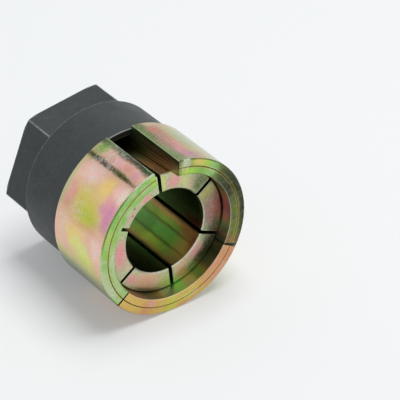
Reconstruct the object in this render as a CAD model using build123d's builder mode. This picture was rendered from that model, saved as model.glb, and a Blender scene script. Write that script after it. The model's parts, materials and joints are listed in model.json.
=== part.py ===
"""Keyless locking assembly: a hex nut draws a slit tapered collet into a three-piece outer ring.

The part stands on its hex end. +Z runs up its axis, from the nut to the front face of the ring,
and the origin is on the axis at the end of the hex. All sizes are in millimetres and degrees.
"""

from build123d import *
from math import cos, degrees, radians, sin, sqrt, tan
import os

os.makedirs("parts", exist_ok=True)

# What the assembly goes on, and how long it is. The walls below build up from this shaft
# to a hub bore of 65.
shaft_diameter = 35.0
overall_length = 67.5

# Wedge between the collet and the ring, with the collet drawn in
taper_angle = 4.0  # from the axis, on both
mouth_offset = 8.6  # from the shaft to the ring's bore at its front face
wedge_gap = 0.33  # radial, between the two tapers
face_recess = 5.3  # the collet's face below the ring's

# Outer ring
ring_wall = 6.4  # at its front face
slot_span = 19.7  # open between the first segment and the last
slot_turn = -125.0  # direction of the slot from the axis
split_width = 0.4  # gap between neighbouring segments, at the hub
segment_count = 3
flange_height = 3.0
face_groove_depth = 0.18  # a right-angled groove, halfway across the front face
outer_edge_break = 0.45
mouth_edge_break = 0.3
shoulder_edge_break = 0.15
slot_edge_break = 0.25

# Thread between the collet and the nut. Both are cut to the roots of their threads here.
thread_height = 0.9
thread_clearance = 0.05
nut_thread_length = 22.0
thread_entry = 1.2  # bevel where each thread starts

# Hex nut
hex_wall = 4.45  # from the root of the thread to a flat
hex_height = 15.0
hex_turn = 28.6  # direction of one corner from the axis
hex_corner_trim = 0.13  # turned off the sharp corners
hex_bevel_height = 0.8  # at the corners, on the free end
hex_bevel_angle = 30.0  # from the end face
collar_step = 1.6  # the collar's side inside the ring's
collar_height = 21.9
collar_front_break = 0.45
collar_back_break = 0.2
groove_wall = 1.4  # from the inner groove to the collar's side
lip_height = 3.0
lip_reach = 1.0  # overlap of the lip in front of the ring's flange
lip_edge_break = 0.3
cavity_depth = 2.25  # radial, from the root of the thread

# Clearances between the nut and the ring it holds
end_play = 0.25  # on each face of the lip and behind the flange
neck_clearance = 0.4  # radial, inside the lip
groove_clearance = 0.35  # radial, outside the flange

# Inner collet
shank_wall = 4.1  # from the bore to the root of the thread
tail_recess = 1.0  # the collet's tail inside the hex end
shank_overrun = 2.0  # shank beyond the nut's thread
relief_length = 2.5
relief_depth = 0.5
slit_count = 6
slit_width = 1.5
slit_turn = -3.7  # direction of one slit from the axis
slit_stop = 6.0  # height where the slits end on the shank
saw_radius = 40.0
saw_plunge = 2.0  # how far the saw passes the bore's wall
bore_edge_break = 0.5
face_edge_break = 0.35
slit_edge_break = 0.2  # at the fingers' tips

# Heights, from the hex end up
nut_height = hex_height + collar_height
groove_top = nut_height - lip_height
shoulder = nut_height + end_play
flange_top = groove_top - end_play
flange_bottom = flange_top - flange_height
groove_bottom = flange_bottom - end_play
collet_face = overall_length - face_recess
shank_top = nut_thread_length + shank_overrun
taper_bottom = shank_top + relief_length

# Radii, from the shaft out
shaft_radius = shaft_diameter / 2
shank_radius = shaft_radius + shank_wall
relief_radius = shank_radius - relief_depth
nut_thread_radius = shank_radius + thread_height + thread_clearance
cavity_radius = nut_thread_radius + cavity_depth
ring_mouth_radius = shaft_radius + mouth_offset
hub_radius = ring_mouth_radius + ring_wall
face_groove_radius = (ring_mouth_radius + hub_radius) / 2
collar_radius = hub_radius - collar_step
groove_radius = collar_radius - groove_wall
flange_radius = groove_radius - groove_clearance
lip_radius = flange_radius - lip_reach
neck_radius = lip_radius - neck_clearance
flat_radius = nut_thread_radius + hex_wall
corner_radius = flat_radius / cos(radians(30)) - hex_corner_trim

# Angles round the ring
split_span = degrees(split_width / hub_radius)
segment_span = (360 - slot_span - (segment_count - 1) * split_span) / segment_count


def ring_bore(height):
    """Radius of the ring's tapered bore at a height."""
    return ring_mouth_radius - (overall_length - height) * tan(radians(taper_angle))


def collet_taper(height):
    """Radius of the collet's taper at a height, with the collet drawn in."""
    return ring_bore(height) - wedge_gap


def outwards(direction):
    """Unit vector square to the axis, in a direction round it."""
    return Vector(cos(radians(direction)), sin(radians(direction)), 0)


def radial_plane(direction):
    """The plane through the axis whose x points outwards in a direction and whose y is +Z."""
    return Plane(origin=(0, 0, 0), x_dir=outwards(direction), z_dir=outwards(direction - 90))


# The hex nut: a hexagon with its corners turned off, and a round collar with a lip at its front
with BuildPart() as hex_nut:
    with BuildSketch():
        RegularPolygon(radius=flat_radius, side_count=6, major_radius=False, rotation=hex_turn)
    extrude(amount=hex_height)

    with BuildSketch(Plane.XZ):
        with BuildLine():
            Polyline(
                (0, 0),
                (corner_radius - hex_bevel_height / tan(radians(hex_bevel_angle)), 0),
                (corner_radius, hex_bevel_height),
                (corner_radius, hex_height),
                (0, hex_height),
                close=True,
            )
        make_face()
    revolve(axis=Axis.Z, mode=Mode.INTERSECT)

    with BuildSketch(Plane.XZ):
        with BuildLine():
            Polyline(
                (0, hex_height),
                (collar_radius - collar_back_break, hex_height),
                (collar_radius, hex_height + collar_back_break),
                (collar_radius, nut_height - collar_front_break),
                (collar_radius - collar_front_break, nut_height),
                (0, nut_height),
                close=True,
            )
        make_face()
    revolve(axis=Axis.Z)

    with BuildSketch(Plane.XZ):
        with BuildLine():
            Polyline(
                (0, 0),
                (nut_thread_radius + thread_entry, 0),
                (nut_thread_radius, thread_entry),
                (nut_thread_radius, nut_thread_length),
                (cavity_radius, nut_thread_length + cavity_depth),
                (cavity_radius, groove_bottom),
                (groove_radius, groove_bottom),
                (groove_radius, groove_top),
                (lip_radius, groove_top),
                (lip_radius, nut_height - lip_edge_break),
                (lip_radius + lip_edge_break, nut_height),
                (0, nut_height),
                close=True,
            )
        make_face()
    revolve(axis=Axis.Z, mode=Mode.SUBTRACT)

# One slit of the collet: the path of a round saw that enters at the front face
saw_centre_radius = shaft_radius - saw_plunge + saw_radius
saw_run_out = sqrt(saw_radius**2 - (saw_centre_radius - shank_radius) ** 2)

with BuildPart() as slit:
    with BuildSketch(radial_plane(slit_turn)):
        with Locations((saw_centre_radius, slit_stop + saw_run_out)):
            Circle(saw_radius)
            Rectangle(2 * saw_radius, overall_length, align=(Align.CENTER, Align.MIN))
    extrude(amount=slit_width / 2, both=True)

# The inner collet: bored for the shaft, tapered in front, threaded behind and slit from the front
with BuildPart() as inner_collet:
    with BuildSketch(Plane.XZ):
        with BuildLine():
            Polyline(
                (shaft_radius, tail_recess + bore_edge_break),
                (shaft_radius + bore_edge_break, tail_recess),
                (shank_radius - thread_entry, tail_recess),
                (shank_radius, tail_recess + thread_entry),
                (shank_radius, shank_top),
                (relief_radius, shank_top),
                (relief_radius, taper_bottom),
                (collet_taper(taper_bottom) - face_edge_break, taper_bottom),
                (collet_taper(taper_bottom), taper_bottom + face_edge_break),
                (collet_taper(collet_face), collet_face - face_edge_break),
                (collet_taper(collet_face) - face_edge_break, collet_face),
                (shaft_radius + bore_edge_break, collet_face),
                (shaft_radius, collet_face - bore_edge_break),
                close=True,
            )
        make_face()
    revolve(axis=Axis.Z)
    with PolarLocations(0, slit_count):
        add(slit.part, mode=Mode.SUBTRACT)
    finger_tips = inner_collet.faces().filter_by_position(Axis.Z, collet_face, collet_face)
    chamfer(finger_tips.edges().filter_by(GeomType.LINE), slit_edge_break)

# The section of the outer ring, x outwards and y up
with BuildSketch() as ring_section:
    with BuildLine():
        Polyline(
            (ring_bore(flange_bottom), flange_bottom),
            (flange_radius, flange_bottom),
            (flange_radius, flange_top),
            (neck_radius, flange_top),
            (neck_radius, shoulder),
            (hub_radius - shoulder_edge_break, shoulder),
            (hub_radius, shoulder + shoulder_edge_break),
            (hub_radius, overall_length - outer_edge_break),
            (hub_radius - outer_edge_break, overall_length),
            (ring_mouth_radius + mouth_edge_break, overall_length),
            (ring_bore(overall_length - mouth_edge_break), overall_length - mouth_edge_break),
            close=True,
        )
    make_face()
    with Locations((face_groove_radius, overall_length)):
        groove_side = face_groove_depth * sqrt(2)
        Rectangle(groove_side, groove_side, rotation=45, mode=Mode.SUBTRACT)

# The outer ring: equal segments, with the wide slot between the last and the first
slot_middle = outwards(slot_turn) * hub_radius + Vector(0, 0, (shoulder + overall_length) / 2)

for number in range(1, segment_count + 1):
    start = slot_turn + slot_span / 2 + (number - 1) * (segment_span + split_span)
    with BuildPart() as segment:
        with BuildSketch(radial_plane(start)):
            add(ring_section.sketch)
        revolve(axis=Axis.Z, revolution_arc=segment_span)
        if number in (1, segment_count):
            slot_wall = segment.faces().filter_by(GeomType.PLANE).sort_by_distance(slot_middle)[0]
            long_edges = slot_wall.edges().filter_by(Axis.Z)
            chamfer(long_edges.sort_by_distance(slot_middle)[0], slot_edge_break)
    segment.part.label = f"outer_segment_{number}"
    export_step(segment.part, f"parts/outer_segment_{number}.step")

hex_nut.part.label = "hex_nut"
export_step(hex_nut.part, "parts/hex_nut.step")

inner_collet.part.label = "inner_collet"
export_step(inner_collet.part, "parts/inner_collet.step")
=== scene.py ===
# Keyless locking assembly: its finishes and threads, the table it lies on, the lights and the camera.
# Metres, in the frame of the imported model: +Z runs from the hex end to the front face of the ring.
import bpy
import json
import math
from mathutils import Matrix, Vector


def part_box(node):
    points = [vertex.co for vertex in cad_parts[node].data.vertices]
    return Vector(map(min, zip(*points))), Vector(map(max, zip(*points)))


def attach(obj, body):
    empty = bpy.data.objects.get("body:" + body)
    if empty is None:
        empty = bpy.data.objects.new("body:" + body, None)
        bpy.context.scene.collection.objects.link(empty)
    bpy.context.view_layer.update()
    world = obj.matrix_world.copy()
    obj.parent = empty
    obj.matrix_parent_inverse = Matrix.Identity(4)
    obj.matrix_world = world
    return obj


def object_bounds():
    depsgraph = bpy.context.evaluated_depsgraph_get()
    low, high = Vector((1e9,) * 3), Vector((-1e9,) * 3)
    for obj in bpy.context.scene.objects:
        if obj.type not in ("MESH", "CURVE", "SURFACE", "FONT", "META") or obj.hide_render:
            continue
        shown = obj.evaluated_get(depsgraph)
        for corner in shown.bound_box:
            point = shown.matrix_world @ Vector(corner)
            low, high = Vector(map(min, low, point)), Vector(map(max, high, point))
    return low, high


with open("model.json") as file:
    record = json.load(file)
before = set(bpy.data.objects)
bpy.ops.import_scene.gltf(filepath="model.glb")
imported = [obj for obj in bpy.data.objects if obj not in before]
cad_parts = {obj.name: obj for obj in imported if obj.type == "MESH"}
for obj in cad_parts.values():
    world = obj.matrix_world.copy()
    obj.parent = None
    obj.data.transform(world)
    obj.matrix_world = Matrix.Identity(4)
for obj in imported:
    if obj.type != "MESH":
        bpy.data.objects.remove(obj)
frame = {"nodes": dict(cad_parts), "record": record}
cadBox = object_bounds()
nodes = frame["nodes"]
mounts = {mount["name"]: mount for mount in frame["record"]["mounts"]}
mm = 0.001
print("frame loaded:", ", ".join(sorted(nodes)))

# Sizes read from the model, in mm
ringFront = cadBox[1].z / mm
hubRadius = mounts["hub_seat"]["dims"]["r_mm"]
boreRadius = mounts["shaft_bore"]["dims"]["r_mm"]
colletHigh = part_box("inner_collet")[1] / mm
colletFront = colletHigh.z
colletFace = colletHigh.y
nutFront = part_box("hex_nut")[1].z / mm


class Signal:  # a socket: a formula written with it adds the Math nodes
    def __init__(self, graph, socket):
        self.graph = graph
        self.socket = socket

    def out(self, name):  # another output of the same node
        return Signal(self.graph, self.socket.node.outputs[name])

    def __add__(self, other):
        return self.graph.math("ADD", self, other)

    def __sub__(self, other):
        return self.graph.math("SUBTRACT", self, other)

    def __rsub__(self, other):
        return self.graph.math("SUBTRACT", other, self)

    def __mul__(self, other):
        return self.graph.math("MULTIPLY", self, other)

    def __abs__(self):
        return self.graph.math("ABSOLUTE", self)

    __radd__ = __add__
    __rmul__ = __mul__


class Graph:  # a node tree, and the few kinds of node that everything here is made from
    def __init__(self, tree):
        self.tree = tree

    def add(self, kind, settings=None, sockets=None, output=0):
        node = self.tree.nodes.new(kind)
        for name, value in (settings or {}).items():
            if name == "stops":
                stops = node.color_ramp.elements
                while len(stops) < len(value):
                    stops.new(0.5)
                for stop, (position, colour) in zip(stops, value):
                    stop.position = position
                    stop.color = colour
            else:
                setattr(node, name, value)
        for name, value in (sockets or {}).items():
            if isinstance(value, Signal):
                self.tree.links.new(value.socket, node.inputs[name])
            else:
                node.inputs[name].default_value = value
        return Signal(self, node.outputs[output])

    def math(self, operation, *values):
        return self.add("ShaderNodeMath", {"operation": operation}, dict(enumerate(values)))

    def greater(self, first, *others):  # the greatest of several
        for other in others:
            first = self.math("MAXIMUM", first, other)
        return first

    def vector(self, operation, *values, output=0):
        return self.add("ShaderNodeVectorMath", {"operation": operation}, dict(enumerate(values)), output)

    def join(self, x=0.0, y=0.0, z=0.0):
        return self.add("ShaderNodeCombineXYZ", None, {0: x, 1: y, 2: z})

    def soft(self, value, start, end, low=0.0, high=1.0):  # an eased step
        return self.add("ShaderNodeMapRange", {"interpolation_type": "SMOOTHSTEP"},
                        {0: value, 1: start, 2: end, 3: low, 4: high})

    def lean(self, factor, first, second):  # from one value to another
        return self.add("ShaderNodeMix", {"data_type": "FLOAT"}, {0: factor, 2: first, 3: second})

    def tint(self, factor, first, second):  # the same with colours
        return self.add("ShaderNodeMix", {"data_type": "RGBA"}, {0: factor, 6: first, 7: second}, 2)

    def noise(self, where, scale, detail=2.0, roughness=0.5, output=0):
        return self.add("ShaderNodeTexNoise", None,
                        {"Vector": where, "Scale": scale, "Detail": detail, "Roughness": roughness}, output)

    def drift(self, where, scale, detail, roughness=0.5):  # three noises that lie either side of nought
        noise = self.noise(where, scale, detail, roughness, output=1)
        return self.vector("SUBTRACT", noise, (0.5, 0.5, 0.5))

    def placed(self, where, turn=(0, 0, 0), scale=(1, 1, 1)):
        return self.add("ShaderNodeMapping", {"vector_type": "POINT"},
                        {"Vector": where, "Rotation": turn, "Scale": scale})

    def patch(self, skin, centre, reach, firm, tilt=0.0):  # a soft oval on a skin
        oval = self.add("ShaderNodeMapping", {"vector_type": "TEXTURE"},
                        {"Vector": skin, "Location": (*centre, 0), "Scale": (*reach, 1),
                         "Rotation": (0, 0, math.radians(tilt))})
        return self.soft(self.vector("LENGTH", oval, output=1), 1.25, firm)


def paint(red, green, blue):  # a colour given as it looks, 0 to 255
    values = []
    for level in (red, green, blue):
        level /= 255
        values.append(level / 12.92 if level < 0.04 else ((level + 0.055) / 1.055) ** 2.4)
    return (*values, 1.0)


def newFinish(name):
    material = bpy.data.materials.new(name)
    material.use_nodes = True
    material.node_tree.nodes.clear()
    return material, Graph(material.node_tree)


def close(graph, shader, kind="ShaderNodeOutputMaterial"):
    ending = graph.tree.nodes.new(kind)
    graph.tree.links.new(shader.socket, ending.inputs["Surface"])


# The yellow zinc finish.
# Where nothing is laid, the film's colour repeats as it thickens: green, yellow, pink, mauve, green.
zinc = {
    "filmColours": [
        (0.00, paint(134, 204, 106)),
        (0.14, paint(178, 210, 64)),
        (0.33, paint(220, 196, 76)),
        (0.48, paint(232, 176, 120)),
        (0.62, paint(232, 152, 146)),
        (0.78, paint(206, 142, 172)),
        (0.90, paint(178, 190, 164)),
        (1.00, paint(134, 204, 106)),
    ],
    "paints": {
        "white": paint(232, 230, 220), "cream": paint(212, 190, 150), "blush": paint(224, 180, 170),
        "pink": paint(214, 152, 152), "mauve": paint(200, 134, 160), "salmon": paint(188, 144, 126),
        "peach": paint(214, 172, 146), "gold": paint(218, 188, 112), "straw": paint(200, 182, 94),
        "lime": paint(186, 188, 70), "leaf": paint(200, 205, 100), "sage": paint(166, 176, 128),
        "mist": paint(190, 198, 156), "green": paint(136, 188, 94), "moss": paint(100, 110, 76),
        "olive": paint(102, 120, 54), "deep": paint(66, 74, 44), "amber": paint(204, 166, 88),
        "clay": paint(198, 142, 104), "brown": paint(134, 106, 66), "rust": paint(160, 80, 70),
        "rose": paint(222, 146, 150), "night": paint(42, 62, 38), "grass": paint(112, 152, 62),
        "fern": paint(90, 150, 80), "mint": paint(166, 236, 120), "apple": paint(166, 208, 74),
        "coral": paint(206, 118, 92), "umber": paint(92, 68, 44), "drab": paint(134, 130, 94),
    },
    # bare zinc for scratches and frost, and for the pale edge lines, which are partly painted highlight
    "bareZinc": paint(222, 220, 208),
    # colour of the painted shade: slits, splits, the groove, the slot, the bore and mouth, and painted dark
    # reflections
    "soot": paint(34, 36, 24),
    "seam": -123.7,  # direction where the angle round the axis starts again: in the slot, and on a slit
    "scratchTurns": [  # turn, amount, fineness
        ((0.3, 0.2, 0.5), 0.9, 0.62), ((1.2, 0.9, 0.1), 0.8, 1.05), ((0.2, 2.1, 1.4), 0.9, 0.80),
    ],
    "scratchWidth": 0.058,  # in the range of the noise that they are cut from
    "scratchDepth": 0.012,
    "grainDepth": 0.006,
    "saturation": 1.0,
    "hueDrift": 0.06,
}


def roundAxis(graph):
    # position in mm, radius, height, and degrees round the axis from the seam
    where = graph.vector("SCALE", graph.add("ShaderNodeTexCoord", output="Object"))
    where.socket.node.inputs["Scale"].default_value = 1 / mm
    flat = graph.placed(where, turn=(0, 0, -math.radians(zinc["seam"] + 180)))
    parts = graph.add("ShaderNodeSeparateXYZ", None, {0: flat})
    x, y, height = parts, parts.out("Y"), parts.out("Z")
    radius = graph.vector("LENGTH", graph.join(x, y), output=1)
    degrees = (graph.math("ARCTAN2", y, x) + math.pi) * math.degrees(1)
    return where, radius, height, degrees


def fromSeam(direction):
    return (direction - zinc["seam"]) % 360


def skinOf(graph, degrees, along, atRadius, warp, amount):
    # a flat skin in mm: round the axis, and up it or out from it
    flat = graph.join(degrees * (math.radians(1) * atRadius), along)
    return graph.vector("ADD", flat, graph.vector("MULTIPLY", warp, (amount[0], amount[1], 0.0)))


def lay(graph, field, skin, atRadius, patches, firm=0.25, within=(0, 360)):
    # Each patch: its direction, its height or radius, its reach round and along, a paint or a value,
    # its strength and, where it leans, its tilt. Patches out of reach of the degrees within are left out.
    perDegree = math.radians(1) * atRadius
    for direction, along, reachRound, reachAlong, what, strength, *tilt in patches:
        turned = fromSeam(direction)
        if not within[0] - 4 < turned < within[1] + 4:
            continue
        centre, reach = (turned * perDegree, along), (reachRound, reachAlong)
        mask = graph.patch(skin, centre, reach, firm, *tilt) * strength
        if isinstance(what, str):
            field = graph.tint(mask, field, zinc["paints"][what])
        else:
            field = graph.lean(mask, field, what)
    return field


def scratches(graph, where, turns, width):
    # thin lines where a stretched noise passes its middle
    lines = None
    for turn, amount, fineness in turns:
        stretched = graph.placed(where, turn=turn, scale=(0.5 * fineness, 1.3 * fineness, 1.3 * fineness))
        middle = abs(graph.noise(stretched, 1.0, 1.0) - 0.5)
        line = graph.soft(middle, width, width * 0.3) * amount
        lines = line if lines is None else graph.greater(lines, line)
    return lines


def filmOf(graph, value):
    return graph.add("ShaderNodeValToRGB", {"stops": zinc["filmColours"]}, {0: graph.math("FRACT", value)})


def passivated(graph, where, film, shade, frost, bareEdgeAndHighlight, roughness, paintedLight):
    # a film, its painted shade, frosted scratched places and pale edges, made into metal; the pale edges are
    # worn bare zinc and painted highlight
    bareAndHighlight = zinc["bareZinc"]
    fine = graph.noise(where, 2.6, 3.0, 0.65)
    hue = graph.noise(where, 0.30, 3.0, 0.6) * zinc["hueDrift"] + (0.5 - zinc["hueDrift"] / 2)
    lines = scratches(graph, where, zinc["scratchTurns"], zinc["scratchWidth"])
    cuts = lines * graph.soft(graph.noise(where, 0.7, 3.0, 0.6), 0.46, 0.56)
    rub = cuts * graph.math("MINIMUM", frost, 0.85)

    # the painted light of each surface scales the colour's value
    colour = graph.add("ShaderNodeHueSaturation", None, {
        "Color": film, "Hue": hue, "Saturation": zinc["saturation"],
        "Value": graph.soft(fine, 0.3, 0.7, 0.94, 1.06) * paintedLight})
    colour = graph.tint(frost * graph.soft(fine, 0.42, 0.66, 0.05, 0.42), colour, bareAndHighlight)
    # painted shade: the film darkened towards the shade colour
    colour = graph.tint(shade, colour, zinc["soot"])
    # pale edges: worn bare zinc and painted highlight
    colour = graph.tint(bareEdgeAndHighlight, graph.tint(rub, colour, bareAndHighlight), bareAndHighlight)

    height = graph.noise(where, 3.2, 3.0, 0.6) * zinc["grainDepth"] - cuts * zinc["scratchDepth"]
    normal = graph.add("ShaderNodeBump", None, {"Strength": 1.0, "Distance": mm, "Height": height})
    rough = roughness + graph.soft(fine, 0.3, 0.7, -0.03, 0.05) + rub * 0.10 + frost * 0.08 + bareEdgeAndHighlight * 0.06
    return graph.add("ShaderNodeBsdfPrincipled", None, {
        "Base Color": colour, "Metallic": 1.0, "Roughness": rough, "Normal": normal})


# The outer ring: the films on its barrel, its front face, its mouth and the walls of its slot
ring = {
    "segments": {1: (8.55, 121.5), 2: (122.2, 235.2), 3: (235.9, 348.9)},  # degrees from the seam
    "slotEdges": (9.1, 348.85),
    "splits": (121.85, 235.55),  # their middles
    "mouthRadius": 26.1,
    "mouthSkin": 26.0,  # radius where the mouth's patches are measured
    "taper": 0.0699,  # what the bore narrows by in a millimetre
    "outerBreak": 0.45,
    "mouthBreak": 0.35,
    "ground": {1: (-80, 82, "peach"), 2: (30, 8, "amber"), 3: (-150, 34, "cream")},  # direction, reach, paint
    "faceGround": {1: "green", 2: "amber", 3: "olive"},
    "faceMottle": {1: "mist", 2: "clay", 3: "moss"},
    "hidden": (0.20, 0.70),  # range of film where no patch is laid
    "mottle": 0.075,
    "barrelWarp": (4.0, 4.0),
    "straightWarp": (0.3, 3.0),
    "faceWarp": (2.0, 0.6),
    "fray": 1.6,
    "barrel": [
        (-71, 51, 10, 10, "straw", 1.0), (-66, 54.5, 5.5, 7.5, "lime", 1.0),
        (-88, 56.5, 5.0, 4.5, "gold", 1.0), (-80, 62.5, 5.5, 3.2, "pink", 1.0),
        (-74, 65, 6.5, 3.4, "mauve", 1.0), (-76, 60.5, 2.2, 3.0, "mauve", 0.7),
        (-92, 46, 5.5, 6.0, "blush", 1.0), (-92, 63, 4.5, 3.0, "blush", 1.0),
        (-91, 66, 5.0, 2.0, "white", 0.4), (-69, 42, 8.0, 3.6, "clay", 0.55),
        (-72, 41, 5.0, 3.0, "pink", 0.5), (-49, 64, 7.0, 4.2, "blush", 1.0),
        (-49, 51, 6.0, 5.5, "gold", 0.9), (-43, 51, 4.5, 5.5, "leaf", 0.9),
        (-39, 56, 5.0, 4.5, "leaf", 1.0), (-49, 42, 8.0, 3.4, "peach", 0.8),
        (-57.5, 54, 1.8, 14, "clay", 0.35), (-106, 54, 3.6, 10.0, "pink", 0.9),
        (-106, 58, 2.6, 4.0, "clay", 0.5), (-106, 63, 3.4, 3.0, "mauve", 0.55),
        (-106, 47, 4.0, 4.0, "salmon", 0.6), (-109, 40.2, 4.6, 3.4, "grass", 0.9),
        (-114.5, 53, 3.0, 60, "deep", 1.0), (-115.0, 56, 2.3, 14, "night", 1.0),
        (-111.8, 57, 1.5, 7.0, "umber", 0.6), (-112.4, 47, 1.6, 6.0, "moss", 0.8),
        (-114.5, 42, 3.0, 4.0, "grass", 0.35), (-115.7, 52, 0.45, 60, "fern", 1.0),
        # the umber and olive strips at -100 paint a dark reflection, the streak
        (-99.9, 46, 1.1, 16, "umber", 0.7), (-99.8, 58, 1.1, 7, "olive", 0.9),
        (-100, 40, 2.6, 3.0, "grass", 0.5), (-33, 56, 5.0, 8.0, "leaf", 0.8),
        (-25, 52, 5.0, 60, "leaf", 0.6), (-15, 52, 7.0, 60, "sage", 1.0),
        (-2, 52, 7.0, 60, "moss", 0.6), (-48, 47, 3.4, 4.6, "gold", 0.7),
        (-147, 55, 4.6, 10, "rose", 0.95), (-147, 46, 4.0, 7.0, "salmon", 0.9),
        (-146, 50, 3.0, 6.0, "clay", 0.4), (-148, 63.5, 4.5, 4.0, "mauve", 0.7),
        (-137.5, 52, 3.4, 60, "drab", 1.0), (-138.5, 54, 2.4, 7.0, "salmon", 0.75),
        (-146, 42.5, 4.4, 4.0, "coral", 0.75), (-138, 60, 2.2, 8.0, "sage", 0.6),
        (-135.8, 50, 1.4, 60, "grass", 0.7), (-139, 39, 4.0, 2.6, "olive", 0.6),
        (-142, 67, 5.0, 2.2, "sage", 0.8), (-153, 52, 3.5, 12, "gold", 0.35),
        (-157.5, 50, 3.2, 14, "leaf", 0.5), (-162, 50, 5.5, 9.0, "mist", 0.9),
        (-170, 54, 5.0, 60, "mist", 0.6), (-178, 56, 4.0, 60, "mist", 0.7),
        (-176, 67, 7.0, 1.6, "sage", 0.8), (-78, 37.6, 16, 2.2, "sage", 0.7),
    ],
    # painted shade; the two at -100 darken the streak, a painted dark reflection
    "barrelShade": [
        (-99.8, 59, 1.0, 10, 0.62, 1.0), (-99.9, 45, 1.2, 16, 0.68, 1.0),
        (-114.6, 57, 1.8, 12, 0.25, 1.0), (-4, 52, 9.0, 60, 0.42, 1.0),
        (-138, 54, 2.6, 60, 0.13, 1.0), (-112.0, 50, 1.2, 9, 0.22, 1.0),
    ],
    "barrelFrost": [
        (-107, 48, 6.5, 9.0, 0.75, 1.0), (-98, 47, 5.0, 8.0, 0.7, 1.0),
        (-90, 47, 5.0, 7.0, 0.6, 1.0), (-91, 65.5, 4.0, 2.5, 0.7, 1.0),
        (-66, 48, 5.0, 7.0, 0.5, 1.0), (-45, 54, 6.0, 7.0, 0.5, 1.0), (-84, 46, 4.0, 5.0, 0.8, 1.0),
        (-50, 64, 6.0, 4.0, 0.6, 1.0), (-50, 42, 6.0, 4.0, 0.5, 1.0), (-176, 56, 5.0, 14, 0.5, 1.0),
        (-110.2, 54, 1.3, 60, 0.35, 1.0), (-137, 50, 2.0, 60, 0.15, 1.0),
    ],
    "rim": [  # without a height: worn bare zinc and painted highlight where its value is above nought, a painted dark line below
        (-106, 8.0, 5, 1.0, 1.0), (-34, 12.0, 60, 0.35, 1.0), (50, 32.0, 60, 0.4, 1.0),
        (-141, 2.0, 60, 0.6, 1.0),
    ],
    # where no rim patch lies, the outer edge is a painted dark line
    "rimBase": -0.55,
    "face": [
        (-116, 29.4, 3.4, 4.0, "apple", 0.7), (-22, 31.2, 9.0, 2.4, "mist", 0.75),
        (-40, 27.2, 8.0, 1.4, "mist", 0.7), (-16, 27.4, 7.0, 1.5, "mist", 0.6),
        (-85, 27.2, 3.0, 1.2, "mist", 0.7), (-62, 31.2, 4.0, 1.8, "leaf", 0.45),
        (24, 30, 3.8, 6.0, "clay", 0.7), (28, 27.8, 3.0, 2.0, "pink", 0.6),
        (40, 29.3, 3.0, 6.0, "straw", 0.6), (48, 29.3, 3.4, 6.0, "leaf", 0.6),
        (46, 30, 3.6, 4.0, "lime", 0.6), (56, 31.4, 3.0, 1.6, "clay", 0.4),
        (62, 27.6, 6.0, 2.0, "straw", 0.7), (61, 29.3, 5.5, 1.4, "leaf", 0.8),
        (84, 29.3, 4.0, 1.6, "rose", 0.4), (93, 29.3, 9.0, 6.0, "clay", 1.0),
        (92, 31.4, 6.0, 1.5, "salmon", 0.4), (106, 29.3, 4.4, 6.0, "clay", 0.9),
        (104, 29.3, 4.0, 6.0, "rust", 0.22), (115.5, 29.3, 4.0, 6.0, "brown", 1.0),
        # the deep patches at 148 and 168 paint a dark reflection on the third segment's face
        (148, 31.4, 15, 2.0, "deep", 1.0), (168, 29.3, 8.0, 8.0, "deep", 1.0),
        (177, 29.3, 4.0, 8.0, "moss", 0.4), (-165, 29.3, 4.4, 6.0, "green", 1.0),
        (-153, 31.2, 5.5, 2.4, "leaf", 1.0), (-152, 31.4, 3.0, 1.6, "gold", 0.7),
        (-160, 31.4, 2.4, 1.8, "apple", 0.7), (-151, 27.5, 6.5, 2.4, "green", 0.9),
        (-144, 27.5, 4.6, 2.2, "apple", 1.0), (-140, 27.6, 1.6, 1.4, "straw", 0.6),
        (-140, 31, 2.6, 3.0, "mist", 0.9),
    ],
    # painted shade: the split at 111.85, and at 140 and 168 a painted dark reflection
    "faceShade": [
        (111.85, 29.3, 0.55, 60, 1.0, 1.0), (168, 30, 11, 8.0, 0.50, 1.0),
        (140, 31.4, 14, 2.0, 0.45, 1.0), (140, 28, 12, 2.0, 0.32, 1.0),
    ],
    "faceFrost": [
        (-14, 31, 6.0, 3.0, 0.6, 1.0), (-45, 27.4, 7.0, 1.6, 0.5, 1.0),
        (-141, 30.5, 2.4, 3.5, 1.0, 1.0), (-167, 29, 3.5, 4.5, 0.5, 1.0),
        (65, 30, 6.0, 1.6, 0.4, 1.0),
    ],
    "mouth": [
        (12, 65, 14, 60, "cream", 0.5), (3, 65, 3.0, 60, "moss", 0.6),
        (30, 65, 6.0, 60, "drab", 0.9), (47, 65, 3.0, 60, "mist", 1.0),
        (59, 65, 4.4, 60, "mint", 1.0), (71, 65, 2.8, 60, "mint", 0.5),
        (80, 65, 2.4, 60, "green", 0.8), (97, 65, 7.0, 60, "fern", 0.8),
        (104, 65, 4.0, 60, "night", 0.6), (113, 65, 2.6, 60, "moss", 1.0),
        (125, 65, 3.2, 60, "sage", 1.0), (145, 65, 7.0, 60, "pink", 1.0),
        (146, 65, 4.0, 60, "rust", 0.35), (158, 65, 2.4, 60, "clay", 0.8),
        (171, 65, 4.0, 60, "brown", 1.0),
    ],
    "mouthShade": [
        (111.85, 65, 1.0, 60, 1.0, 1.0), (150, 62.4, 15, 0.7, 0.90, 1.0),
        (18, 65, 16, 60, 0.30, 1.0), (98, 65, 9.0, 60, 0.62, 1.0), (118, 65, 4.0, 60, 0.40, 1.0),
        (80, 65, 3.0, 60, 0.3, 1.0), (168, 65, 5.0, 60, 0.35, 1.0),
    ],
    "grooveShade": 0.75,
    "wallShade": (0.0, 0.10),
    "wallFrost": 0.02,
    # painted light: each surface's colour made lighter or darker for how light falls on it
    "wallGain": 0.95,
    "barrelGain": {1: 1.18, 2: 1.0, 3: 0.96},
    "faceGain": {1: 1.03, 2: 1.16, 3: 1.0},
    "gilt": {1: 0.45, 2: 0.15, 3: 0.5},  # yellowing beside the groove
    "roughness": 0.22,
    "wallRoughness": 0.38,
}


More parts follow.
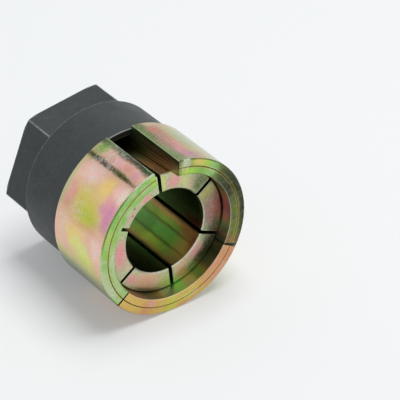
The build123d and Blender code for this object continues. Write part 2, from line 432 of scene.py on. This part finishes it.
def finishRing(number):
    material, graph = newFinish(f"yellowZincRing{number}")
    where, radius, height, degrees = roundAxis(graph)
    paints, within, mouthAt = zinc["paints"], ring["segments"][number], ring["mouthSkin"]
    faceRadius = (hubRadius + ring["mouthRadius"]) / 2
    warp = graph.drift(where, 0.11, 2.0)
    broad = graph.soft(graph.noise(where, ring["mottle"], 2.5, 0.55), 0.30, 0.70, *ring["hidden"])
    streaks = graph.noise(graph.placed(where, scale=(2.2, 2.2, 0.06)), 1.0, 3.0) - 0.5

    # where each surface is
    fromBore = radius + (ringFront - height) * ring["taper"] - ring["mouthRadius"]
    inside = graph.soft(fromBore, 0.28, 0.16)
    outside = graph.soft(radius, hubRadius - 0.6, hubRadius - 0.4)
    front = graph.soft(height, ringFront - 0.5, ringFront - 0.4)
    fray = graph.vector("MULTIPLY", graph.drift(where, 1.1, 3.0, 0.6), (ring["fray"], ring["fray"], 0.0))
    barrelSkin = skinOf(graph, degrees, height, hubRadius, warp, ring["barrelWarp"])
    barrelSkin = graph.vector("ADD", fray, barrelSkin)
    straightSkin = skinOf(graph, degrees, height, hubRadius, warp, ring["straightWarp"])
    straightSkin = graph.vector("ADD", fray, straightSkin)
    faceSkin = skinOf(graph, degrees, radius, faceRadius, warp, ring["faceWarp"])
    mouthSkin = skinOf(graph, degrees, height, mouthAt, warp, ring["faceWarp"])

    def pick(mix, wall, barrel, mouth, face):  # by where a point lies
        return mix(front, mix(inside, mix(outside, wall, barrel), mouth), face)

    # film: on the barrel, the walls, the mouth and the front face
    hidden = filmOf(graph, broad)
    direction, reach, ground = ring["ground"][number]
    shown = graph.soft(abs(degrees - fromSeam(direction)), reach + 14, reach)
    barrel = graph.tint(shown, hidden, paints[ground])
    barrel = lay(graph, barrel, barrelSkin, hubRadius, ring["barrel"], within=within)
    wall = graph.tint(graph.soft(streaks, -0.15, 0.15), paints["brown"], paints["cream"])
    wall = graph.tint(graph.soft(radius, hubRadius - 3.0, hubRadius - 0.5), wall, paints["moss"])
    wall = graph.tint(graph.soft(height, 51, 40, 0.0, 0.55), wall, paints["fern"])
    mouth = lay(graph, hidden, mouthSkin, mouthAt, ring["mouth"], within=within)
    leafy = graph.soft(broad, 0.2, 0.7, 0.0, 0.18)
    face = graph.tint(leafy, paints[ring["faceGround"][number]], paints["leaf"])
    mottle = graph.soft(graph.noise(where, 0.30, 3.0, 0.6), 0.48, 0.66, 0.0, 0.6)
    face = graph.tint(mottle, face, paints[ring["faceMottle"][number]])
    face = lay(graph, face, faceSkin, faceRadius, ring["face"], within=within)
    fromGroove = abs(radius - faceRadius)
    gilt = graph.soft(fromGroove, 1.0, 0.2) * ring["gilt"][number]
    film = pick(graph.tint, wall, barrel, mouth, graph.tint(gilt, face, paints["straw"]))

    # shade, with the groove and the splits
    wallShade = graph.soft(height, ringFront - 4, ringFront - 26, *ring["wallShade"])
    barrelShade = lay(graph, 0.0, straightSkin, hubRadius, ring["barrelShade"], 0.4, within)
    mouthShade = lay(graph, 0.1, mouthSkin, mouthAt, ring["mouthShade"], 0.3, within)
    faceShade = lay(graph, 0.0, faceSkin, faceRadius, ring["faceShade"], 0.6, within)
    shade = pick(graph.lean, wallShade, barrelShade, mouthShade, faceShade)
    groove = graph.soft(fromGroove, 0.27, 0.15) * front
    fromSplit = graph.math("MINIMUM", *[abs(degrees - split) for split in ring["splits"]])
    faceSplit = graph.soft(fromSplit, 0.95, 0.60) * front
    shade = graph.greater(shade, groove * ring["grooveShade"], faceSplit, graph.soft(fromSplit, 0.50, 0.38))

    # frost
    barrelFrost = lay(graph, 0.10, barrelSkin, hubRadius, ring["barrelFrost"], 0.0, within)
    faceFrost = lay(graph, 0.08, faceSkin, faceRadius, ring["faceFrost"], 0.0, within)
    frost = pick(graph.lean, ring["wallFrost"], barrelFrost, ring["wallFrost"], faceFrost)

    # the edges: the front face's two, and the slot's; pale lines of worn bare zinc and painted highlight, and
    # a painted dark line on the outer edge
    outer, mouthEnd = ring["outerBreak"], ringFront - ring["mouthBreak"]
    outerEdge = graph.math("MINIMUM", radius - (hubRadius - outer), height - (ringFront - outer))
    outerEdge = graph.soft(outerEdge, -0.12, 0.10)
    innerEdge = graph.math("MINIMUM", ring["mouthRadius"] + 0.12 - radius, height - mouthEnd)
    innerEdge = graph.soft(innerEdge, -0.10, 0.08)
    fromSlot = graph.math("MINIMUM", degrees - ring["slotEdges"][0], ring["slotEdges"][1] - degrees)
    slotEdge = graph.soft(fromSlot, 0.55, 0.35) * graph.soft(radius, hubRadius - 0.35, hubRadius - 0.2)
    rim = [(direction, ringFront, *rest) for direction, *rest in ring["rim"]]
    rim = lay(graph, ring["rimBase"], straightSkin, hubRadius, rim, 0.3, within)
    shade = graph.greater(shade, outerEdge * graph.greater(-1.0 * rim, 0.0))
    bareEdgeAndHighlight = graph.greater(outerEdge * graph.greater(rim, 0.0), innerEdge * 0.5, slotEdge * 0.28)
    wearAndSheen = graph.soft(graph.noise(where, 0.5, 3.0), 0.30, 0.60, 0.6, 1.0)

    # painted light, by surface and segment
    paintedLight = pick(graph.lean, ring["wallGain"], ring["barrelGain"][number], 1.0, ring["faceGain"][number])
    rough = graph.lean(graph.greater(outside, front), ring["wallRoughness"], ring["roughness"])
    close(graph, passivated(graph, where, film, shade, frost, bareEdgeAndHighlight * wearAndSheen, rough, paintedLight))
    return material


# The inner collet: the films on its face and in its bore, and what shows of it in the slits and the slot
collet = {
    "face": [
        (-104, 19.4, 3.4, 2.2, "rose", 0.85), (-82, 19.2, 6.0, 2.0, "pink", 0.5),
        (-98, 22.6, 8.0, 2.2, "green", 0.8), (-33, 20.8, 8.0, 4.2, "rose", 0.95, 8),
        (-57, 21, 2.6, 5.0, "green", 0.35), (-11, 19.5, 2.0, 2.6, "blush", 0.5),
        (24, 20.6, 9.5, 4.2, "peach", 1.0), (24, 21.6, 7.0, 3.0, "clay", 0.4),
        (4, 22, 2.8, 3.0, "rose", 0.8), (17, 23, 3.0, 2.0, "clay", 0.4),
        (47, 23, 3.4, 3.0, "straw", 0.55), (29, 25.0, 6.0, 1.5, "brown", 0.9),
        (70, 19.6, 5.0, 2.6, "peach", 0.8), (68, 22.6, 3.6, 2.4, "clay", 0.6),
        (92, 19.5, 5.5, 2.6, "rose", 0.85), (97, 23.5, 9.0, 2.0, "drab", 1.0),
        (95, 21.6, 7.0, 0.9, "rust", 0.45), (143, 21.5, 8.5, 6.0, "pink", 0.9),
        (146, 22.5, 5.0, 3.0, "clay", 0.5), (121, 21, 2.4, 5.0, "sage", 0.9),
        (167, 21, 4.0, 6.0, "straw", 0.6), (-176, 22, 3.6, 4.6, "olive", 0.9),
        (-163, 20.5, 3.2, 3.4, "cream", 0.7), (-152, 22, 3.2, 4.0, "leaf", 0.5),
        (-141, 21.2, 3.8, 4.0, "rose", 0.85), (-128.5, 21, 1.2, 6.0, "leaf", 0.7),
    ],
    "faceShade": [
        (144, 22, 13, 8.0, 0.52, 1.0), (98, 24.0, 9.0, 2.8, 0.50, 1.0),
        (122, 23.5, 5.0, 3.4, 0.60, 1.0), (109, 22, 3.0, 3.0, 0.45, 1.0),
        (78, 24.2, 4.0, 2.0, 0.15, 1.0), (-176, 22, 7.0, 5.0, 0.35, 1.0),
        (27, 25.0, 7.0, 1.6, 0.25, 1.0),
    ],
    "bore": [
        (62.2, 45, 1.4, 60, "clay", 0.65), (70, 42, 2.6, 14, "lime", 0.45),
        (104, 40, 3.0, 14, "lime", 0.35), (110.5, 45, 1.6, 60, "clay", 0.8),
        (78, 50, 0.8, 60, "umber", 0.4), (97, 50, 0.8, 60, "umber", 0.4),
        (86, 62, 13.0, 9.5, "clay", 0.7), (105, 57, 3.0, 8.0, "rust", 0.6),
        (96, 61, 4.0, 3.0, "rust", 0.5), (18, 45, 12.0, 60, "drab", 0.8),
        (158, 45, 14.0, 60, "drab", 0.8), (122, 57, 3.5, 8.0, "rust", 0.9),
    ],
    "boreShade": [
        (18, 45, 12.0, 60, 0.82, 1.0), (162, 45, 12.0, 60, 0.82, 1.0),
        (124, 45, 2.2, 60, 0.62, 1.0), (97, 50, 0.6, 60, 0.30, 1.0), (78, 50, 0.6, 60, 0.30, 1.0),
        (86, 33, 12.0, 8, 0.45, 0.8), (150, 61.5, 30, 2.5, 0.25, 1.0), (58, 45, 1.2, 60, 0.6, 1.0),
        (112.8, 45, 0.6, 60, 0.5, 1.0),
    ],
    "nicks": [(-89, 20.6, 0.34, 0.55, 20), (-81, 19.0, 0.34, 0.5, -10)],  # direction, radius, reaches, tilt
    "nickShade": 0.8,
    "slitHalf": 0.75,  # half its width
    # painted shade in the slits
    "slitSoot": 0.75,
    "greenSide": 88,  # direction; the film drifts on the side across from it
    "faceWarp": (2.6, 1.6),
    "boreWarp": (0.8, 2.0),
    # painted light: the face, bore and outside made lighter or darker for how light falls on them
    "faceGain": 1.06,
    "boreGain": 1.45,
    "outerGain": 0.9,
    "roughness": 0.30,
}


def finishCollet():
    material, graph = newFinish("yellowZincCollet")
    where, radius, height, degrees = roundAxis(graph)
    paints = zinc["paints"]
    faceRadius = (boreRadius + colletFace) / 2
    warp = graph.drift(where, 0.2, 2.0)
    cloudy = graph.noise(where, 0.9, 3.0, 0.6) - 0.5
    streaks = graph.noise(graph.placed(where, scale=(1.6, 1.6, 0.05)), 1.0, 2.0) - 0.5

    # where each surface is
    front = graph.soft(height, colletFront - 0.4, colletFront - 0.3)
    inside = graph.soft(radius, boreRadius + 0.25, boreRadius + 0.1)
    fromSlit = graph.math("PINGPONG", degrees, 30.0) * (radius * math.radians(1))  # from its middle, in mm
    slitWall = collet["slitHalf"]
    cut = graph.soft(fromSlit, slitWall + 0.20, slitWall + 0.01) * graph.soft(height, 4.0, 6.0)
    faceSkin = skinOf(graph, degrees, radius, faceRadius, warp, collet["faceWarp"])
    boreSkin = skinOf(graph, degrees, height, boreRadius, warp, collet["boreWarp"])

    # film: the outside, then the bore and the face over it
    outer = graph.tint(graph.soft(streaks, -0.12, 0.12), paints["drab"], paints["clay"])
    outer = graph.tint(graph.soft(height, 54, 42, 0.0, 0.45), outer, paints["fern"])
    farSide = graph.soft(abs(degrees - fromSeam(collet["greenSide"])), 85, 110, 0.0, 0.3)
    bore = graph.tint(farSide, paints["fern"], filmOf(graph, graph.noise(where, 0.05) + 0.1))
    bore = graph.tint(graph.soft(streaks, -0.20, 0.25, 0.0, 0.10), bore, paints["straw"])
    bore = lay(graph, bore, boreSkin, boreRadius, collet["bore"])
    face = graph.tint(graph.soft(cloudy, -0.2, 0.2), paints["sage"], paints["mist"])
    face = lay(graph, face, faceSkin, faceRadius, collet["face"], 0.2)
    film = graph.tint(front, graph.tint(inside, outer, bore), face)

    # shade, with the slits and the nicks
    boreShade = graph.greater(lay(graph, 0.0, boreSkin, boreRadius, collet["boreShade"], 0.5), 0.05)
    shade = graph.lean(inside, graph.soft(height, 60, 44, 0.12, 0.20), boreShade)
    faceShade = lay(graph, 0.0, faceSkin, faceRadius, collet["faceShade"], 0.4)
    shade = graph.lean(front, graph.lean(cut, shade, collet["slitSoot"]), faceShade)
    perDegree = math.radians(1) * faceRadius
    for direction, at, reachRound, reachOut, tilt in collet["nicks"]:
        nick = graph.patch(faceSkin, (fromSeam(direction) * perDegree, at), (reachRound, reachOut), 0.5, tilt)
        shade = graph.greater(shade, nick * front * collet["nickShade"])

    # the edges: the bore's, the face's and the slits', pale lines of worn bare zinc and painted highlight
    boreEdge = graph.math("MINIMUM", boreRadius + 0.38 - radius, height - (colletFront - 0.55))
    rimEdge = graph.math("MINIMUM", radius - (colletFace - 0.4), height - (colletFront - 0.4))
    slitEdge = graph.soft(abs(fromSlit - (slitWall + 0.13)), 0.22, 0.08) * front
    bareEdgeAndHighlight = graph.greater(graph.soft(boreEdge, -0.15, 0.10) * 0.7, graph.soft(rimEdge, -0.10, 0.10) * 0.8,
                         slitEdge * 0.4)
    wearAndSheen = graph.soft(graph.noise(where, 0.6, 3.0), 0.30, 0.60, 0.40, 0.90)

    frost = graph.lean(front, 0.0, 0.16 + cloudy * 0.9)
    paintedLight = graph.lean(front, graph.lean(inside, collet["outerGain"], collet["boreGain"]), collet["faceGain"])
    close(graph, passivated(graph, where, film, shade, frost, bareEdgeAndHighlight * wearAndSheen, collet["roughness"], paintedLight))
    return material


# The hex nut: black oxide, with pale lines along its edges, worn bare steel and painted highlight
nut = {
    "hexHeight": 15.0,
    "hexTurn": 28.6,
    "collarRadius": 30.9,
    "lipRadius": 28.15,
    "oxide": paint(48, 54, 54),
    "oxideBlue": paint(51, 56, 57),
    "oxideDeep": paint(40, 45, 45),
    "bareSteel": paint(196, 200, 200),
    "recess": paint(10, 10, 10),  # painted shade in the recess behind the lip
    # painted shade on the lip's front face
    "lipFace": paint(36, 33, 29),
    "scratchTurns": [((0.5, 0.4, 0.2), 1.0, 0.8), ((1.4, 0.3, 1.1), 0.8, 0.8)],
    "scratchWidth": 0.010,
    "roughness": 0.52,
    "specular": 0.38,
}


def finishNut():
    material, graph = newFinish("blackOxide")
    where, radius, height, degrees = roundAxis(graph)
    hexTop, collar, lip, steelAndHighlight = nut["hexHeight"], nut["collarRadius"], nut["lipRadius"], nut["bareSteel"]
    cloud = graph.noise(where, 0.09, 3.0, 0.55)
    fine = graph.noise(where, 1.8, 4.0, 0.65)
    colour = graph.tint(graph.soft(cloud, 0.35, 0.70), nut["oxide"], nut["oxideBlue"])
    blotches = graph.soft(graph.noise(where, 0.35, 3.0), 0.45, 0.75, 0.0, 0.5)
    colour = graph.tint(blotches, colour, nut["oxideDeep"])
    colour = graph.tint(graph.soft(fine, 0.50, 0.80, 0.0, 0.08), colour, steelAndHighlight)
    # painted shade: the recess behind the lip darkened almost to black
    recess = graph.soft(radius, collar - 0.50, collar - 0.65)
    recess = recess * graph.soft(height, nutFront - 6.5, nutFront - 6.3)
    colour = graph.tint(recess * 0.85, colour, nut["recess"])
    # painted shade on the lip's front face
    lipFace = graph.soft(radius, collar - 0.40, collar - 0.50)
    lipFace = lipFace * graph.soft(height, nutFront - 0.25, nutFront - 0.10)
    colour = graph.tint(lipFace, colour, nut["lipFace"])

    # turning marks on the collar, faint scratches and pits
    onCollar = graph.soft(height, hexTop - 0.1, hexTop + 0.1)
    turned = graph.noise(graph.placed(where, scale=(0.02, 0.02, 5.5)), 1.0, 3.0, 0.7) - 0.5
    lines = scratches(graph, where, nut["scratchTurns"], nut["scratchWidth"])
    rub = lines * graph.soft(graph.noise(where, 0.15, 2.0), 0.45, 0.70)
    specks = graph.add("ShaderNodeTexVoronoi", {"feature": "F1"}, {"Vector": where, "Scale": 0.45})
    pits = graph.soft(specks, 0.16, 0.05) * graph.soft(graph.noise(where, 0.3, 1.0), 0.48, 0.60)
    colour = graph.tint(rub * 0.09, colour, steelAndHighlight)
    colour = graph.tint(pits * 0.6, colour, nut["oxideDeep"])

    # pale lines, worn bare steel and painted highlight: the hex corners, both edges of the collar, the lip
    # and the free end
    sixth = graph.math("PINGPONG", degrees - (nut["hexTurn"] - zinc["seam"]), 30.0)
    corner = graph.soft(sixth, 0.9, 0.3) * graph.soft(height, hexTop + 0.1, hexTop - 0.1)
    corner = corner * graph.soft(radius, 30.3, 30.6)
    rearEdge = graph.soft(abs(height - hexTop - 0.1), 0.22, 0.10)
    rearEdge = rearEdge * graph.soft(radius, collar - 0.5, collar - 0.3)
    frontEdge = graph.math("MINIMUM", radius - collar + 0.22, height - nutFront + 0.38)
    frontEdge = graph.soft(frontEdge, -0.10, 0.10)
    lipEdge = graph.soft(abs(radius - lip - 0.1), 0.35, 0.15)
    lipEdge = lipEdge * graph.soft(height, nutFront - 0.5, nutFront - 0.2)
    endEdge = graph.soft(height, 0.85, 0.3) * graph.soft(radius, 29.0, 29.8)
    bareEdgeAndHighlight = graph.greater(corner * 0.35, rearEdge, frontEdge, lipEdge * 0.5, endEdge * 0.5)
    wearAndSheen = graph.soft(graph.noise(where, 0.7, 3.0), 0.35, 0.62, 0.40, 1.0)
    # the collar's front edge stays pale all round: a painted highlight
    bareEdgeAndHighlight = graph.greater(bareEdgeAndHighlight * wearAndSheen, frontEdge * 0.85)
    colour = graph.tint(bareEdgeAndHighlight, colour, steelAndHighlight)

    bumps = fine * 0.010 + turned * onCollar * 0.006 - rub * 0.012 - pits * 0.05
    normal = graph.add("ShaderNodeBump", None, {"Strength": 1.0, "Distance": mm, "Height": bumps})
    rough = graph.soft(cloud, 0.3, 0.7, nut["roughness"] - 0.05, nut["roughness"] + 0.06)
    rough = rough + (fine - 0.5) * 0.2 - bareEdgeAndHighlight * 0.12
    close(graph, graph.add("ShaderNodeBsdfPrincipled", None, {
        "Base Color": colour, "Metallic": bareEdgeAndHighlight * 0.7, "Roughness": rough, "Normal": normal,
        "Specular IOR Level": nut["specular"]}))
    return material


colletZinc = finishCollet()
nutBlack = finishNut()
finishes = {"hex_nut": nutBlack, "inner_collet": colletZinc}
for number in ring["segments"]:
    finishes[f"outer_segment_{number}"] = finishRing(number)
for name, material in finishes.items():
    for slot in nodes[name].material_slots:
        slot.material = material
print("finishes made")

# The threads. Each is a ridge swept along a right-hand helix. It grows out of its entry bevel and dies into
# its end. Sizes in mm, the phase in turns.
thread = {
    "pitch": 1.5,
    "ridgeFoot": 1.12,  # width at the root
    "ridgeCrest": 0.19,
    "height": 0.85,
    "sunk": 0.06,  # how far the foot is buried
    "fade": 0.85,  # length over which a ridge grows
    "stepsPerTurn": 64,
    "nut": {"root": 22.55, "start": 1.2, "end": 22.2, "phase": 0.0, "inwards": True},
    "collet": {"root": 21.6, "start": 2.2, "end": 23.9, "phase": 0.5, "inwards": False},
    "slits": {"count": 6, "width": 1.5, "turn": -3.7, "from": 5.4, "length": 22, "radius": 22.0, "depth": 4},
}


def threadTree(cutBySlits):
    tree = bpy.data.node_groups.new("threadRidge", "GeometryNodeTree")
    for name in ("Root", "Start", "End", "Phase", "Side"):
        tree.interface.new_socket(name, in_out="INPUT", socket_type="NodeSocketFloat")
    tree.interface.new_socket("Material", in_out="INPUT", socket_type="NodeSocketMaterial")
    tree.interface.new_socket("Geometry", in_out="OUTPUT", socket_type="NodeSocketGeometry")
    graph = Graph(tree)
    given = graph.add("NodeGroupInput")
    root, start, end, phase, side = (given.out(name) for name in ("Root", "Start", "End", "Phase", "Side"))
    pitch = thread["pitch"] * mm

    # a line of points, wound round the axis
    count = (end - start) * (thread["stepsPerTurn"] / pitch) + 1
    line = graph.add("GeometryNodeCurvePrimitiveLine", None, {
        "Start": graph.join(0.0, 0.0, start), "End": graph.join(0.0, 0.0, end)})
    line = graph.add("GeometryNodeResampleCurve", {"mode": "COUNT"}, {"Curve": line, "Count": count})
    height = graph.add("ShaderNodeSeparateXYZ", None, {0: graph.add("GeometryNodeInputPosition")}).out("Z")
    angle = (height * (1 / pitch) + phase) * math.tau
    wound = graph.join(graph.math("COSINE", angle) * root, graph.math("SINE", angle) * root, height)
    helix = graph.add("GeometryNodeSetPosition", None, {"Geometry": line, "Position": wound})
    helix = graph.add("GeometryNodeSetCurveNormal", {"mode": "Z_UP"}, {"Curve": helix})
    low = graph.math("MULTIPLY", height - start, 1 / (thread["fade"] * mm))
    high = graph.math("MULTIPLY", end - height, 1 / (thread["fade"] * mm))
    grown = graph.add("ShaderNodeClamp", None, {0: graph.math("MINIMUM", low, high), 1: 0.02, 2: 1.0})
    helix = graph.add("GeometryNodeSetCurveRadius", None, {"Curve": helix, "Radius": grown})

    # the ridge's section: foot sunk in the root, crest towards the other thread
    foot, crest = thread["ridgeFoot"] / 2 * mm, thread["ridgeCrest"] / 2 * mm
    sunk, tall = side * (-thread["sunk"] * mm), side * (thread["height"] * mm)
    corners = (sunk, -foot), (tall, -crest), (tall, crest), (sunk, foot)
    section = graph.add("GeometryNodeCurvePrimitiveQuadrilateral", {"mode": "POINTS"}, {
        f"Point {number}": graph.join(*corner) for number, corner in enumerate(corners, 1)})
    ridge = graph.add("GeometryNodeCurveToMesh", None, {
        "Curve": helix, "Profile Curve": section, "Scale": grown, "Fill Caps": True})

    if cutBySlits:
        slits = thread["slits"]
        ringOfCuts = graph.add("GeometryNodeMeshCircle", None, {
            "Vertices": slits["count"], "Radius": slits["radius"] * mm})
        cutter = graph.add("GeometryNodeMeshCube", None, {
            "Size": (slits["depth"] * mm, slits["width"] * mm, slits["length"] * mm)})
        facing = graph.add("FunctionNodeAlignRotationToVector", {"axis": "X"}, {
            "Vector": graph.add("GeometryNodeInputPosition")})
        cutters = graph.add("GeometryNodeInstanceOnPoints", None, {
            "Points": ringOfCuts, "Instance": cutter, "Rotation": facing})
        cutters = graph.add("GeometryNodeTransform", None, {
            "Geometry": cutters, "Translation": (0.0, 0.0, (slits["from"] + slits["length"] / 2) * mm),
            "Rotation": (0.0, 0.0, math.radians(slits["turn"]))})
        cutters = graph.add("GeometryNodeRealizeInstances", None, {"Geometry": cutters})
        ridge = graph.add("GeometryNodeMeshBoolean", {"operation": "DIFFERENCE", "solver": "EXACT"}, {
            "Mesh 1": ridge, "Mesh 2": cutters})

    ridge = graph.add("GeometryNodeRealizeInstances", None, {"Geometry": ridge})
    ridge = graph.add("GeometryNodeSetMaterial", None, {"Geometry": ridge, "Material": given.out("Material")})
    ending = tree.nodes.new("NodeGroupOutput")
    tree.links.new(ridge.socket, ending.inputs["Geometry"])
    return tree


def makeThread(name, sizes, cutBySlits, material, body):
    piece = bpy.data.objects.new(name, bpy.data.meshes.new(name))
    bpy.context.scene.collection.objects.link(piece)
    modifier = piece.modifiers.new("ridge", "NODES")
    modifier.node_group = threadTree(cutBySlits)
    given = {"Root": sizes["root"] * mm, "Start": sizes["start"] * mm, "End": sizes["end"] * mm,
             "Phase": sizes["phase"], "Side": -1.0 if sizes["inwards"] else 1.0, "Material": material}
    for item in modifier.node_group.interface.items_tree:
        if item.item_type == "SOCKET" and item.in_out == "INPUT":
            modifier[item.identifier] = given[item.name]
    shown = piece.evaluated_get(bpy.context.evaluated_depsgraph_get())
    finished = bpy.data.meshes.new_from_object(shown)
    piece.modifiers.clear()
    piece.data = finished
    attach(piece, body)
    print(name, len(finished.polygons), "faces")


makeThread("nutThread", thread["nut"], False, nutBlack, "nut")
makeThread("colletThread", thread["collet"], True, colletZinc, "collet")

# The table, the lights and the camera, in metres
studio = {
    "up": Vector((-0.6448, -0.7644, 0.0)),  # the assembly lies on its side
    "right": Vector((-0.6189, 0.5223, 0.5867)),
    "cameraUp": Vector((-0.78536, -0.42376, -0.45127)),
    "cameraAt": Vector((-0.00443, -0.70796, 0.70932)),
    "lens": 234.135,
    "sensor": 36,
    "table": (paint(239, 241, 241), paint(237, 240, 240)),
    "tableReach": 4.0,
    "tableGlow": 0.26,  # share of the table that the camera sees as plain pale
    "backdrop": paint(241, 243, 246),
    "sky": paint(250, 251, 255),
    "skyLight": 0.42,
    "keyAt": (1.35, 0.24, 0.08),  # up, right and away from the middle of the assembly
    "keyPower": 14.6,
    "keySize": 0.85,
    "gapLight": paint(190, 190, 184),
    "gapAt": -110.0,  # direction round the axis of the darker gap between the soft lights
}
middle = Vector((0.0, 0.0, ringFront / 2 * mm))
away = studio["up"].cross(studio["right"]).normalized()


def makeTable():
    up = studio["up"].normalized()
    side = Vector((0, 0, 1))
    across = up.cross(side)
    foot = -up * (hubRadius * mm)
    reach = studio["tableReach"]
    signs = (-1, -1), (-1, 1), (1, 1), (1, -1)
    corners = [foot + side * (a * reach) + across * (b * reach) for a, b in signs]
    mesh = bpy.data.meshes.new("table")
    mesh.from_pydata([tuple(corner) for corner in corners], [], [(0, 1, 2, 3)])
    table = bpy.data.objects.new("table", mesh)
    bpy.context.scene.collection.objects.link(table)
    if mesh.polygons[0].normal.dot(up) < 0:
        mesh.flip_normals()

    material, graph = newFinish("paleTable")
    where = graph.add("ShaderNodeTexCoord", output="Object")
    colour = graph.tint(graph.soft(graph.noise(where, 3.0, 2.0), 0.3, 0.7, 0.0, 0.3), *studio["table"])
    matt = graph.add("ShaderNodeBsdfDiffuse", None, {"Color": colour})
    path = graph.add("ShaderNodeLightPath")
    seen = graph.greater(*(path.out(f"Is {kind} Ray") for kind in ("Camera", "Glossy", "Transmission")))
    glow = graph.add("ShaderNodeEmission", None, {"Color": colour, "Strength": 1.0})
    matt = graph.add("ShaderNodeMixShader", None, {0: seen * studio["tableGlow"], 1: matt, 2: glow})
    clear = graph.add("ShaderNodeBsdfTransparent")
    behind = graph.add("ShaderNodeNewGeometry", output="Backfacing")
    close(graph, graph.add("ShaderNodeMixShader", None, {0: behind, 1: matt, 2: clear}))
    mesh.materials.append(material)


def makeLights():
    world = bpy.data.worlds.new("studio")
    bpy.context.scene.world = world
    world.use_nodes = True
    world.node_tree.nodes.clear()
    graph = Graph(world.node_tree)
    gap = math.radians(studio["gapAt"])
    direction = graph.add("ShaderNodeTexCoord", output="Generated")
    off = abs(graph.vector("DOT_PRODUCT", direction, (math.sin(gap), -math.cos(gap), 0.0), output=1))
    facing = graph.vector("DOT_PRODUCT", direction, (math.cos(gap), math.sin(gap), 0.0), output=1)
    dark = graph.soft(off, 0.11, 0.05) * graph.soft(facing, 0.2, 0.4)
    rise = graph.vector("DOT_PRODUCT", direction, tuple(studio["up"].normalized()), output=1)
    reflected = graph.add("ShaderNodeBackground", None, {
        "Color": graph.tint(dark, studio["backdrop"], studio["gapLight"]),
        "Strength": graph.soft(rise, -0.2, 0.8, 0.92, 1.05)})
    plain = graph.add("ShaderNodeBackground", None, {"Color": studio["backdrop"], "Strength": 1.0})
    light = graph.add("ShaderNodeBackground", None, {"Color": studio["sky"], "Strength": studio["skyLight"]})
    path = graph.add("ShaderNodeLightPath")
    glossy = graph.greater(path.out("Is Glossy Ray"), path.out("Is Transmission Ray"))
    shader = graph.add("ShaderNodeMixShader", None, {0: glossy, 1: light, 2: reflected})
    shader = graph.add("ShaderNodeMixShader", None, {0: path.out("Is Camera Ray"), 1: shader, 2: plain})
    close(graph, shader, "ShaderNodeOutputWorld")

    lamp = bpy.data.lights.new("key", "AREA")
    lamp.shape = "SQUARE"
    lamp.size = studio["keySize"]
    lamp.energy = studio["keyPower"]
    holder = bpy.data.objects.new("key", lamp)
    bpy.context.scene.collection.objects.link(holder)
    high, right, back = studio["keyAt"]
    place = middle + studio["up"] * high + studio["right"] * right + away * back
    aim = (middle - place).to_track_quat("-Z", "Y")
    holder.matrix_world = Matrix.Translation(place) @ aim.to_matrix().to_4x4()
    holder.visible_glossy = False


def makeCamera():
    camera = bpy.data.cameras.new("camera")
    camera.lens = studio["lens"]
    camera.sensor_width = studio["sensor"]
    holder = bpy.data.objects.new("camera", camera)
    bpy.context.scene.collection.objects.link(holder)
    up = studio["cameraUp"].normalized()
    right = (studio["right"] - up * studio["right"].dot(up)).normalized()
    axes = Matrix((right, up, right.cross(up))).transposed()
    holder.matrix_world = Matrix.Translation(studio["cameraAt"]) @ axes.to_4x4()
    bpy.context.scene.camera = holder


makeTable()
makeLights()
makeCamera()
bpy.context.scene.view_settings.view_transform = "Standard"
print("table, lights and camera placed")
